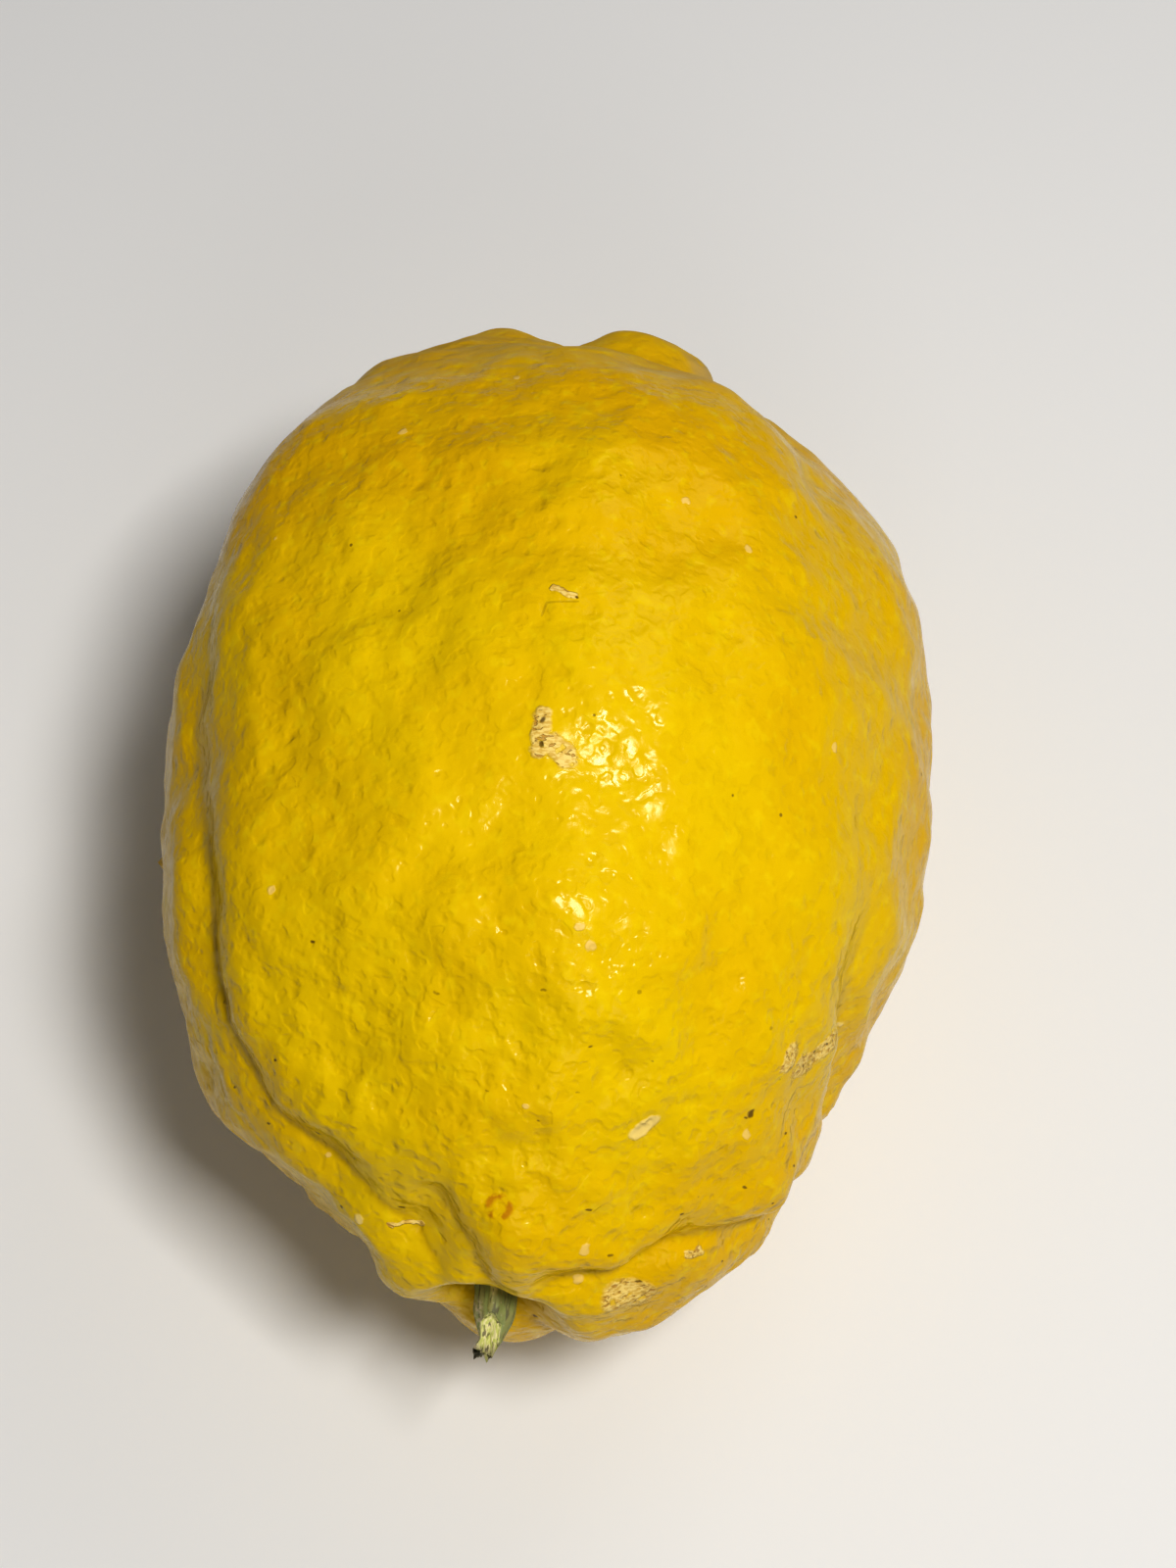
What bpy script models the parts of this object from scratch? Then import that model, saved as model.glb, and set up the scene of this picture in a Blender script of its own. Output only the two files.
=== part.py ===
"""A large, rough-skinned lemon lying on its side, with its calyx and the stub of its stem.

Lengths are in metres and +Z is up. The fruit's long axis runs along Y, from the stem end
at -Y to the nipple at +Y. The lemon rests on a small flat spot at Z = 0.
"""

import math

import bmesh
import bpy
import numpy as np
from mathutils import Vector, noise

# The rind's outline, turned round the Y axis, as (distance along Y, distance from the axis).
# It runs from the floor of the stem's hollow, over the shoulders and belly, to the nipple's tip.
RIND_OUTLINE = (
    (-0.0420, 0.0000),
    (-0.0420, 0.0025),
    (-0.0434, 0.0039),
    (-0.0458, 0.0051),
    (-0.0473, 0.0075),
    (-0.0468, 0.0102),
    (-0.0445, 0.0136),
    (-0.0403, 0.0184),
    (-0.0315, 0.0264),
    (-0.0181, 0.0330),
    (0.0000, 0.0360),
    (0.0184, 0.0348),
    (0.0300, 0.0310),
    (0.0386, 0.0240),
    (0.0430, 0.0168),
    (0.0449, 0.0122),
    (0.0456, 0.0099),
    (0.0474, 0.0082),
    (0.0500, 0.0069),
    (0.0519, 0.0048),
    (0.0526, 0.0000),
)
GRID_CUTS = 29

# The grid's points are gathered in towards the hollow, where the rind turns most sharply.
HOLLOW_GATHER = 0.035
HOLLOW_SHARE = 0.06

# The fruit's axis bends towards +X past this distance, and the nipple stands a bit further over.
BEND_START = 0.015
BEND = 2.6
NIPPLE_SHIFT = 0.0018

# Grooves between the lobes that ring the stem: depth, half width, and points on the groove's
# line, each as (distance along the rind from the hollow's floor, angle from the top in
# degrees). A groove deepens over its first 6 mm and fades over the last part of its way.
LOBE_GROOVES = (
    (
        0.0022,
        0.0030,
        (
            (0.008, 26),
            (0.0135, 35),
            (0.0160, 52),
            (0.0178, 62),
            (0.0205, 62),
            (0.0235, 68),
            (0.0264, 79),
            (0.0290, 86),
            (0.036, 95),
            (0.044, 88),
            (0.0475, 76),
            (0.050, 65),
            (0.057, 64),
            (0.063, 69),
            (0.074, 79),
        ),
    ),
    (
        0.0018,
        0.0030,
        (
            (0.008, -32),
            (0.017, -38),
            (0.024, -45),
            (0.032, -55),
            (0.045, -59),
            (0.055, -55),
            (0.064, -60),
            (0.074, -58),
            (0.088, -52),
        ),
    ),
    (0.0017, 0.0018, ((0.007, 0), (0.0145, -7), (0.018, -11), (0.0205, -16), (0.0245, -36))),
    (0.0019, 0.0040, ((0.005, 146), (0.050, 150))),
    (0.0019, 0.0040, ((0.005, -140), (0.054, -148))),
)
WANDER = 0.03

# The fruit isn't quite round: how many ridges go round it, the angle of one, and their height.
RIBS = (
    (3, 51, 0.0007),
    (5, -62, 0.0004),
)

# Swellings and dents of this fruit: the angle from the top in degrees, the distance along the
# rind from the hollow's floor, the half width round and along the fruit, and the height.
SWELLINGS = (
    (6, 0.066, 0.010, 0.009, 0.0007),
    (7, 0.058, 0.009, 0.005, -0.0007),
    (8, 0.046, 0.012, 0.009, 0.0009),
    (-21, 0.082, 0.004, 0.012, -0.0007),
    (-45, 0.066, 0.013, 0.004, -0.0008),
    (-36, 0.041, 0.006, 0.005, -0.0007),
    (38, 0.048, 0.005, 0.006, -0.0006),
    (38, 0.028, 0.009, 0.004, -0.0011),
    (-25, 0.0172, 0.0034, 0.0042, -0.0020),
    (0, 0.0170, 0.0040, 0.0050, 0.0008),
    (44, 0.0180, 0.0035, 0.0035, 0.0008),
    (14, 0.018, 0.006, 0.006, 0.0010),
    (48, 0.026, 0.005, 0.005, 0.0008),
    (115, 0.017, 0.007, 0.008, 0.0020),
    (88, 0.028, 0.010, 0.009, 0.0026),
    (80, 0.044, 0.010, 0.010, -0.0012),
    (172, 0.016, 0.007, 0.007, 0.0012),
    (-100, 0.021, 0.012, 0.008, -0.0028),
    (-92, 0.055, 0.012, 0.014, 0.0006),
    (-88, 0.079, 0.012, 0.008, -0.0017),
    (-88, 0.103, 0.012, 0.010, -0.0020),
    (-94, 0.030, 0.008, 0.006, -0.0010),
    (90, 0.080, 0.012, 0.012, 0.0004),
    (90, 0.101, 0.010, 0.008, 0.0007),
    (90, 0.053, 0.008, 0.005, -0.0007),
    (-44, 0.040, 0.008, 0.013, 0.0009),
    (-43, 0.062, 0.008, 0.012, 0.0012),
    (-42, 0.084, 0.008, 0.012, 0.0010),
    (48, 0.098, 0.003, 0.011, -0.0006),
    (-75, 0.120, 0.007, 0.006, 0.0022),
    (45, 0.117, 0.005, 0.004, -0.0008),
    (-58, 0.123, 0.005, 0.005, 0.0014),
    (-4, 0.121, 0.006, 0.005, -0.0009),
)

# Where the fruit's axis stands over the flat spot that it rests on, and over the frame's origin.
AXIS_HEIGHT = 0.0354
MIDDLE_X = 0.00028
MIDDLE_Y = 0.00091

CALYX_RADIUS = 0.0025
CALYX_THICKNESS = 0.0012
CALYX_LOBES = 5
CALYX_Y = -0.0431

STEM_START_Y = -0.0440
STEM_LENGTH = 0.0070
STEM_RADIUS = 0.0019
TEAR_START_Y = -0.0476
TEAR_SLOPE = 0.50

RIND_YELLOW = (0.74, 0.50, 0.012)
CALYX_OLIVE = (0.16, 0.14, 0.045)
STEM_GREEN = (0.13, 0.19, 0.045)


def curve_through(points, count):
    """Evenly spaced points on a smooth curve that starts and ends square to the fruit's axis."""
    mirrored = [(points[1][0], -points[1][1]), *points, (points[-2][0], -points[-2][1])]
    knots = np.array(mirrored)
    share = np.linspace(0, 1, 24, endpoint=False)[:, None]
    pieces = []
    for before, start, stop, after in zip(knots, knots[1:], knots[2:], knots[3:]):
        pieces.append(0.5 * (
            2 * start + (stop - before) * share
            + (2 * before - 5 * start + 4 * stop - after) * share**2
            + (3 * start - before - 3 * stop + after) * share**3
        ))
    fine = np.vstack([*pieces, knots[-2]])
    travelled = np.insert(np.cumsum(np.linalg.norm(np.diff(fine, axis=0), axis=1)), 0, 0)
    stations = np.linspace(0, travelled[-1], count)
    along = np.interp(stations, travelled, fine[:, 0])
    out = np.interp(stations, travelled, fine[:, 1])
    return stations, along, out


def smooth_step(value, start, stop):
    """0 before start, 1 after stop, and an even ramp between them."""
    share = np.clip((value - start) / (stop - start), 0, 1)
    return share * share * (3 - 2 * share)


def turn_apart(turn, other):
    """The angle between two directions round the fruit, from -pi to pi."""
    return (turn - other + math.pi) % (2 * math.pi) - math.pi


def groove_line(path, travel):
    """The angle of a groove's line at each distance along the rind."""
    marks, degrees = zip(*path)
    turns = [np.interp(travel + step, marks, degrees) for step in (-0.0012, 0, 0.0012)]
    return np.radians(np.mean(turns, axis=0)) + WANDER * np.sin(travel / 0.006 + degrees[0])


def bent(x, y):
    """Leans the straight fruit's sections over along its bent axis."""
    past = np.maximum(y - BEND_START, 0)
    aside = BEND * past**2 + NIPPLE_SHIFT * smooth_step(y, 0.040, 0.049)
    lean = np.arctan(2 * BEND * past)
    return aside + x * np.cos(lean), y - x * np.sin(lean)


def rind_points(directions):
    """Carries each unit direction to its place on the lemon's rind."""
    stations, outline_y, outline_r = curve_through(RIND_OUTLINE, 600)
    slope_y = np.gradient(outline_y, stations)
    slope_r = np.gradient(outline_r, stations)
    polar = np.arccos(np.clip(-directions[:, 1], -1, 1)) / math.pi
    gathered = polar - HOLLOW_GATHER * (1 - np.exp(-polar / HOLLOW_SHARE))
    travel = gathered / (1 - HOLLOW_GATHER) * stations[-1]
    turn = np.arctan2(directions[:, 0], directions[:, 2])
    y = np.interp(travel, stations, outline_y)
    radius = np.interp(travel, stations, outline_r)
    out_y = -np.interp(travel, stations, slope_r)
    out_r = np.interp(travel, stations, slope_y)

    height = np.zeros(len(directions))
    for depth, width, path in LOBE_GROOVES:
        start, stop = path[0][0], path[-1][0]
        line = groove_line(path, travel)
        slant = (groove_line(path, travel + 0.0005) - line) / 0.0005 * radius
        aside = np.abs(turn_apart(turn, line)) * radius / np.sqrt(1 + slant**2)
        fade = smooth_step(travel, start, start + 0.006)
        fade *= 1 - smooth_step(travel, stop - 0.5 * (stop - start), stop)
        crease = np.exp(-np.hypot(aside, 0.0003) / (0.3 * width))
        groove = 0.65 * np.exp(-((aside / width) ** 2)) + 0.35 * crease
        height -= depth * fade * groove
    for count, degrees, ridge in RIBS:
        height += ridge * np.cos(count * (turn - math.radians(degrees))) * np.sin(polar * math.pi) ** 2
    for degrees, centre, around, length, swell in SWELLINGS:
        aside = turn_apart(turn, math.radians(degrees)) * radius / around
        height += swell * np.exp(-(aside**2) - ((travel - centre) / length) ** 2)
    base = np.stack([radius * np.sin(turn), y, radius * np.cos(turn)], axis=1)
    lumps = np.array([rind_lumps(Vector(point)) for point in base])
    height += lumps * smooth_step(travel, 0.005, 0.014)

    radial = radius + out_r * height
    x, y = bent(radial * np.sin(turn), y + out_y * height)
    return np.stack([x, y, radial * np.cos(turn)], axis=1)


def rind_lumps(point):
    """The rind's own unevenness: broad lumps, and smaller ones that cover them."""
    return 0.0011 * noise.noise(point / 0.013) + 0.00045 * noise.noise(point / 0.0065)


def cube_sphere(cuts):
    """A cube cut into a fine grid and blown up to a unit sphere, with no crowded poles."""
    form = bmesh.new()
    bmesh.ops.create_cube(form, size=2.0)
    bmesh.ops.subdivide_edges(form, edges=form.edges[:], cuts=cuts, use_grid_fill=True)
    for vert in form.verts:
        vert.co = Vector([math.tan(side * math.pi / 4) for side in vert.co]).normalized()
    return form


def calyx_points(directions):
    """Flattens each unit direction into a button with soft lobes, square to the fruit's axis."""
    turn = np.arctan2(directions[:, 0], directions[:, 2])
    lobed = 1 + 0.10 * np.cos(CALYX_LOBES * turn)
    around = np.sqrt(directions[:, 0] ** 2 + directions[:, 2] ** 2)
    out = CALYX_RADIUS * lobed * around**0.6
    rise = 0.5 * CALYX_THICKNESS * np.sign(directions[:, 1]) * np.abs(directions[:, 1]) ** 0.7
    return np.stack([out * np.sin(turn), CALYX_Y + rise, out * np.cos(turn)], axis=1)


def stem_points(turn, share):
    """Points on the stem's skin: share runs from 0 at the calyx to 1 at the torn tip."""
    radius = STEM_RADIUS * (1 + 0.22 * (1 - smooth_step(share, 0, 0.25)))
    radius *= 1 - 0.50 * smooth_step(share, 0.50, 1.0)
    radius *= 1 + 0.06 * np.cos(5 * turn) + 0.04 * np.cos(3 * turn + 1)
    x = radius * np.sin(turn) - 0.0006 * share**2
    y = STEM_START_Y - STEM_LENGTH * share - 0.0004 * np.sin(2 * turn) * smooth_step(share, 0.8, 1)
    z = radius * np.cos(turn) - 0.0003 * share
    torn_top = STEM_RADIUS - TEAR_SLOPE * np.maximum(TEAR_START_Y - y, 0)
    return np.stack([x, y, np.minimum(z, torn_top)], axis=1)


def tube_grid(segments, cuts):
    """A capped tube, with the angle and the share along it of each of its points."""
    form = bmesh.new()
    bmesh.ops.create_cone(
        form, cap_ends=True, segments=segments, radius1=1, radius2=1, depth=1
    )
    long_edges = [edge for edge in form.edges if abs(edge.verts[0].co.z - edge.verts[1].co.z) > 0.5]
    bmesh.ops.subdivide_edges(form, edges=long_edges, cuts=cuts)
    corners = np.array([vert.co for vert in form.verts])
    return form, np.arctan2(corners[:, 0], corners[:, 1]), corners[:, 2] + 0.5


def finished(form, points, name, material, collection):
    """Puts a form's points in place in the shared frame and makes an object of it."""
    points = points - (MIDDLE_X, MIDDLE_Y, -AXIS_HEIGHT)
    for vert, point in zip(form.verts, points):
        vert.co = (point[0], point[1], max(point[2], 0.0))
    bmesh.ops.recalc_face_normals(form, faces=form.faces[:])
    mesh = bpy.data.meshes.new(name)
    form.to_mesh(mesh)
    form.free()
    mesh.shade_smooth()
    mesh.materials.append(material)
    part = bpy.data.objects.new(name, mesh)
    collection.objects.link(part)
    return part


def plain_material(name, colour, roughness):
    material = bpy.data.materials.new(name)
    material.use_nodes = True
    surface = material.node_tree.nodes["Principled BSDF"]
    surface.inputs["Base Color"].default_value = (*colour, 1)
    surface.inputs["Roughness"].default_value = roughness
    surface.inputs["Metallic"].default_value = 0
    material.diffuse_color = (*colour, 1)
    return material


def make_fruit(collection):
    form = cube_sphere(GRID_CUTS)
    points = rind_points(np.array([vert.co for vert in form.verts]))
    rind = plain_material("lemon_rind", RIND_YELLOW, 0.38)
    return finished(form, points, "lemon_fruit", rind, collection)


def make_calyx(collection):
    form = cube_sphere(7)
    points = calyx_points(np.array([vert.co for vert in form.verts]))
    return finished(form, points, "calyx", plain_material("dry_calyx", CALYX_OLIVE, 0.7), collection)


def make_stem(collection):
    form, turn, share = tube_grid(24, 13)
    points = stem_points(turn, share)
    return finished(form, points, "stem_stub", plain_material("green_stem", STEM_GREEN, 0.6), collection)


for old in list(bpy.data.objects):
    bpy.data.objects.remove(old)
lemon = bpy.data.collections.new("lemon")
bpy.context.scene.collection.children.link(lemon)
make_fruit(lemon)
make_calyx(lemon)
make_stem(lemon)
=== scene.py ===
"""The looks of a large, rough-skinned lemon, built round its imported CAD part.

Lengths are in metres and +Z is up. The fruit's long axis runs along Y, from the torn stem at
-Y to the nipple at +Y, and the lemon lies on the plane Z = 0. Values whose names end in MM are
in millimetres.
"""

import math

import bmesh
import bpy
import numpy as np
from mathutils import Matrix, Vector, noise


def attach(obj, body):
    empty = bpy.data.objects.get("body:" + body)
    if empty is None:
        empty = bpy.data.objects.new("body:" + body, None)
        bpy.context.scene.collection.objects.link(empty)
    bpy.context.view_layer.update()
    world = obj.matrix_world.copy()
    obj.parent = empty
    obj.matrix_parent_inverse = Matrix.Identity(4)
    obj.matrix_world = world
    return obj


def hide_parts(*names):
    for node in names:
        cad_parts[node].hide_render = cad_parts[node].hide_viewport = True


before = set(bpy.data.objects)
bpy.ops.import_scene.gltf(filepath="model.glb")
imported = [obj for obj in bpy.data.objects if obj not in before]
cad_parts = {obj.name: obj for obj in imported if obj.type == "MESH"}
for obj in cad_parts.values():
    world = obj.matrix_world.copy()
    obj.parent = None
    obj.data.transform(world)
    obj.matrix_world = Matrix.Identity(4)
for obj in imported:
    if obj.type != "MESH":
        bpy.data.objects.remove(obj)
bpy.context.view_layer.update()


# The fruit. On the real lemon this is the thick citrus rind over its flesh: a waxy, golden
# yellow skin with lobes round the stem, a blunt nipple, soft pebbles and the small pits of
# its oil glands. It grew in one piece, so it is one closed skin.

# The rind's outline, turned round the Y axis, as (distance along Y, distance from the axis).
RIND_OUTLINE = (
    (-0.0420, 0.0000),
    (-0.0420, 0.0025),
    (-0.0434, 0.0039),
    (-0.0458, 0.0051),
    (-0.0473, 0.0075),
    (-0.0468, 0.0102),
    (-0.0445, 0.0136),
    (-0.0403, 0.0184),
    (-0.0315, 0.0264),
    (-0.0181, 0.0330),
    (0.0000, 0.0360),
    (0.0184, 0.0348),
    (0.0300, 0.0310),
    (0.0386, 0.0240),
    (0.0430, 0.0168),
    (0.0449, 0.0122),
    (0.0456, 0.0099),
    (0.0474, 0.0082),
    (0.0500, 0.0069),
    (0.0519, 0.0048),
    (0.0526, 0.0000),
)
OUTLINE_STATIONS = 600
STEPS_PER_KNOT = 24

# The cube's cuts, and how much of its grid gathers in the stem's hollow, over what share.
GRID_CUTS = 127
HOLLOW_GATHER = 0.035
HOLLOW_SHARE = 0.06

# Where the axis starts to bend, how sharply, and how far the nipple steps aside.
BEND_START = 0.015
BEND = 2.6
NIPPLE_SHIFT = 0.0018

# Grooves between the lobes: depth, half width, and points on the groove's line, each as
# (distance along the rind from the hollow's floor, angle from the top in degrees).
LOBE_GROOVES = (
    (
        0.0022,
        0.0030,
        (
            (0.008, 26),
            (0.0135, 35),
            (0.0160, 52),
            (0.0178, 62),
            (0.0205, 62),
            (0.0235, 68),
            (0.0264, 79),
            (0.0290, 86),
            (0.036, 95),
            (0.044, 88),
            (0.0475, 76),
            (0.050, 65),
            (0.057, 64),
            (0.063, 69),
            (0.074, 79),
        ),
    ),
    (
        0.0018,
        0.0030,
        (
            (0.008, -32),
            (0.017, -38),
            (0.024, -45),
            (0.032, -55),
            (0.045, -59),
            (0.055, -55),
            (0.064, -60),
            (0.074, -58),
            (0.088, -52),
        ),
    ),
    (0.0017, 0.0018, ((0.007, 0), (0.0145, -7), (0.018, -11), (0.0205, -16), (0.0245, -36))),
    (0.0019, 0.0040, ((0.005, 146), (0.050, 150))),
    (0.0019, 0.0040, ((0.005, -140), (0.054, -148))),
)

# A groove's line is rounded over this distance and wavers by this angle over that length.
LINE_ROUNDING = 0.0012
LINE_WAVER = 0.03
LINE_WAVER_LENGTH = 0.006

# A groove deepens over this distance, and near the stem this share of it is a crisp crease.
GROOVE_START = 0.006
GROOVE_CRISPNESS = 0.32

# The neck of the nipple, as a distance along the rind, and the half width of its fold's painted
# shade.
NECK_TRAVEL = 0.1260
NECK_SHADE_WIDTH = 0.0014

# How many ridges go round the fruit, the angle of one, and their height.
RIBS = (
    (3, 51, 0.0007),
    (5, -62, 0.0004),
)

# Swellings and dents: angle in degrees, distance along the rind, half widths, and height.
SWELLINGS = (
    (6, 0.066, 0.010, 0.009, 0.0007),
    (7, 0.058, 0.009, 0.005, -0.0007),
    (8, 0.046, 0.012, 0.009, 0.0009),
    (-21, 0.082, 0.004, 0.012, -0.0007),
    (-45, 0.066, 0.013, 0.004, -0.0008),
    (-36, 0.041, 0.006, 0.005, -0.0007),
    (38, 0.048, 0.005, 0.006, -0.0006),
    (38, 0.028, 0.009, 0.004, -0.0011),
    (-25, 0.0172, 0.0034, 0.0042, -0.0020),
    (0, 0.0170, 0.0040, 0.0050, 0.0008),
    (44, 0.0180, 0.0035, 0.0035, 0.0008),
    (14, 0.018, 0.006, 0.006, 0.0010),
    (48, 0.026, 0.005, 0.005, 0.0008),
    (115, 0.017, 0.007, 0.008, 0.0020),
    (88, 0.028, 0.010, 0.009, 0.0026),
    (80, 0.044, 0.010, 0.010, -0.0012),
    (172, 0.016, 0.007, 0.007, 0.0012),
    (-100, 0.021, 0.012, 0.008, -0.0028),
    (-92, 0.055, 0.012, 0.014, 0.0006),
    (-88, 0.079, 0.012, 0.008, -0.0017),
    (-88, 0.103, 0.012, 0.010, -0.0020),
    (-94, 0.030, 0.008, 0.006, -0.0010),
    (90, 0.080, 0.012, 0.012, 0.0004),
    (90, 0.101, 0.010, 0.008, 0.0007),
    (90, 0.053, 0.008, 0.005, -0.0007),
    (-48, 0.040, 0.008, 0.013, 0.0013),
    (-48, 0.062, 0.008, 0.012, 0.0016),
    (-47, 0.084, 0.008, 0.012, 0.0014),
    (48, 0.098, 0.003, 0.011, -0.0006),
    (-75, 0.120, 0.007, 0.006, 0.0022),
    (45, 0.117, 0.005, 0.004, -0.0008),
    (-58, 0.123, 0.005, 0.005, 0.0014),
    (-4, 0.121, 0.006, 0.005, -0.0009),
)

# A small brown wart that stands on the fruit's left side, given as a swelling is.
WART = (-88, 0.0610, 0.0007, 0.0007, 0.0009)

# Size and height of the unevenness that the solid has too: broad lumps, then smaller ones.
SOLID_LUMPS = (
    (0.013, 0.0011),
    (0.0065, 0.00045),
)

# The height of the fruit's axis above the floor, and the point of the fruit that goes to 0.
AXIS_HEIGHT = 0.0354
MIDDLE = Vector((0.00028, 0.00091, -AXIS_HEIGHT))

# Sizes and heights of what Geometry Nodes raise on the skin.
LUMP_SIZE = 0.0068
LUMP_HEIGHT = 0.0015
PEBBLE_SIZE = 0.0024
PEBBLE_HEIGHT = 0.00016

# Sizes of what the material draws on the skin.
CRATER_SIZE = 0.0021
DENT_SIZE = 0.0013
FINE_PEBBLE_SIZE = 0.0019
PIT_SIZE = 0.0011
GRAIN_SIZE = 0.00042
CLOUD_SIZE = 0.018
CRACK_SIZE = 0.0009
PRICK_SPACING = 0.0060
DASH_SPACING = 0.0024
WRINKLE_SIZE = 0.0030

# Its relief. Hollows are given as depths.
CRATER_DEPTH_MM = 0.080
DENT_DEPTH_MM = 0.044
PIT_DEPTH_MM = 0.035
FINE_PEBBLES_MM = 0.19
GRAIN_MM = 0.018
WRINKLES_MM = 0.30
CRUST_MM = 0.10
SCAR_MM = 0.07
SPECK_MM = 0.05
BROWN_DEPTH_MM = 0.05

RIND_GOLD = (0.78, 0.547, 0.001)
RIND_AMBER = (0.74, 0.452, 0.001)
RIND_LEMON_LIT = (0.84, 0.636, 0.008)
RIND_SHADE_OLIVE = (0.50, 0.365, 0.025)
RIND_OCHRE_SHADED = (0.56, 0.340, 0.001)
OLIVE_SHADE = (0.20, 0.125, 0.010)
SCAR_CREAM = (0.88, 0.68, 0.25)
SCAR_TAN = (0.70, 0.47, 0.12)
CRACK_BROWN = (0.46, 0.22, 0.04)
CORK_BROWN = (0.10, 0.050, 0.010)
NIPPLE_TAN = (0.59, 0.41, 0.13)
FOLD_SHADE_BROWN = (0.30, 0.175, 0.010)
BLISTER_ORANGE = (0.52, 0.21, 0.010)
SPECK_PINK = (0.84, 0.60, 0.20)

# Patches of the skin, as centre and radius, the first of them the painted shade in the stem's
# hollow, and the centres of its yellowest part and of a blister.
HOLLOW_SHADE_MM = ((-0.3, -43.5, 35.4), 5.0)
NIPPLE_FLANK_MM = ((11.4, 47.8, 38.4), 4.4)
NIPPLE_CROWN_MM = ((6.8, 51.6, 37.4), 4.8)
FLOWER_SCAR_MM = ((5.4, 52.0, 35.4), 1.6)
YELLOWEST_MM = (-6.0, -20.0, 64.0)
BLISTER_MM = (0.2, -43.0, 53.1)

# Flaking, corky crusts, as start, stop and half width.
CRUSTS_MM = (
    ((0.4, -4.6, 71.2), (0.3, -7.6, 70.9), 0.95),
    ((1.3, -7.0, 70.9), (2.8, -8.1, 70.7), 1.15),
    ((24.0, -27.9, 53.0), (24.4, -26.8, 53.5), 1.00),
    ((25.0, -27.4, 51.0), (26.2, -26.4, 49.6), 1.35),
    ((26.4, -26.0, 49.6), (27.8, -24.0, 48.7), 1.25),
    ((11.1, -46.6, 39.9), (12.6, -46.3, 39.1), 2.15),
    ((16.8, -42.6, 41.3), (17.9, -42.1, 40.8), 0.60),
    ((-9.6, -43.4, 45.0), (-6.6, -42.9, 45.2), 0.28),
    ((0.1, 7.2, 71.6), (1.8, 6.6, 71.7), 0.46),
)

# Smooth cream scars: two long ones, as start, stop and half width, and a round one.
SMOOTH_SCAR_MM = ((11.5, -36.0, 55.6), (12.7, -35.0, 56.0), 0.90)
FLANK_SCAR_MM = ((28.6, -21.5, 43.6), (29.1, -20.4, 42.2), 0.60)
ROUND_SCAR_MM = ((-12.3, -43.0, 44.6), 0.70)

# Pale specks, as centre and radius.
SPECKS_MM = (
    ((-6.0, 32.4, 62.4), 0.50),
    ((-15.6, 25.0, 64.1), 0.52),
    ((-25.7, 14.4, 61.5), 0.46),
    ((16.5, 15.1, 66.4), 0.50),
    ((10.6, 18.7, 67.7), 0.44),
    ((25.7, -0.7, 60.5), 0.52),
    ((-21.8, -19.3, 61.9), 0.52),
    ((5.3, -22.3, 68.5), 0.50),
    ((6.3, -23.7, 67.7), 0.56),
    ((21.0, -33.7, 50.5), 0.54),
    ((7.9, -45.0, 49.0), 0.55),
    ((7.4, -46.1, 42.8), 0.60),
    ((2.0, -35.8, 59.9), 0.40),
    ((-15.5, -38.3, 47.4), 0.44),
)

# A bent scratch, as two lines, and brown spots. The last spot is the wart's.
SCRATCHES_MM = (
    ((-0.7, 4.5, 71.6), (-0.4, 5.7, 71.7), 0.15),
    ((-0.4, 5.7, 71.7), (2.3, 6.1, 71.7), 0.14),
)
BROWN_SPOTS_MM = (
    ((4.7, 19.7, 69.5), 0.24),
    ((20.6, 20.9, 62.1), 0.26),
    ((-17.6, -23.8, 61.9), 0.24),
    ((-1.4, -34.8, 60.1), 0.22),
    ((21.2, -32.2, 51.7), 0.42),
    ((3.4, -47.0, 30.6), 0.32),
    ((0.4, -5.1, 71.2), 0.40),
    ((0.3, -7.2, 70.9), 0.32),
    ((2.1, 6.4, 71.7), 0.22),
    ((25.5, -27.0, 50.2), 0.28),
    ((26.4, -25.4, 50.0), 0.26),
    ((27.4, -24.4, 49.2), 0.24),
    ((27.8, -23.9, 48.8), 0.28),
    ((-37.0, -7.3, 38.0), 1.20),
)


def smooth_step(value, start, stop):
    """0 before start, 1 after stop, and an even ramp between them."""
    share = np.clip((value - start) / (stop - start), 0, 1)
    return share * share * (3 - 2 * share)


def curve_through(points, count):
    """Evenly spaced points on a smooth curve that starts and ends square to the fruit's axis."""
    mirrored = [(points[1][0], -points[1][1]), *points, (points[-2][0], -points[-2][1])]
    knots = np.array(mirrored)
    share = np.linspace(0, 1, STEPS_PER_KNOT, endpoint=False)[:, None]
    pieces = []
    for before, start, stop, after in zip(knots, knots[1:], knots[2:], knots[3:]):
        pieces.append(0.5 * (
            2 * start + (stop - before) * share
            + (2 * before - 5 * start + 4 * stop - after) * share**2
            + (3 * start - before - 3 * stop + after) * share**3
        ))
    fine = np.vstack([*pieces, knots[-2]])
    travelled = np.insert(np.cumsum(np.linalg.norm(np.diff(fine, axis=0), axis=1)), 0, 0)
    stations = np.linspace(0, travelled[-1], count)
    along = np.interp(stations, travelled, fine[:, 0])
    out = np.interp(stations, travelled, fine[:, 1])
    return stations, along, out


def turn_apart(turn, other):
    """The angle between two directions round the fruit, from -pi to pi."""
    return (turn - other + math.pi) % (2 * math.pi) - math.pi


def groove_line(path, travel):
    """The angle of a groove's line at each distance along the rind."""
    marks, degrees = zip(*path)
    steps = (-LINE_ROUNDING, 0, LINE_ROUNDING)
    turns = [np.interp(travel + step, marks, degrees) for step in steps]
    waver = LINE_WAVER * np.sin(travel / LINE_WAVER_LENGTH + degrees[0])
    return np.radians(np.mean(turns, axis=0)) + waver


def groove_slant(path, travel, radius, step=0.0005):
    """How far a groove's line moves sideways for each length that it runs along the rind."""
    return (groove_line(path, travel + step) - groove_line(path, travel)) / step * radius


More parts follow.
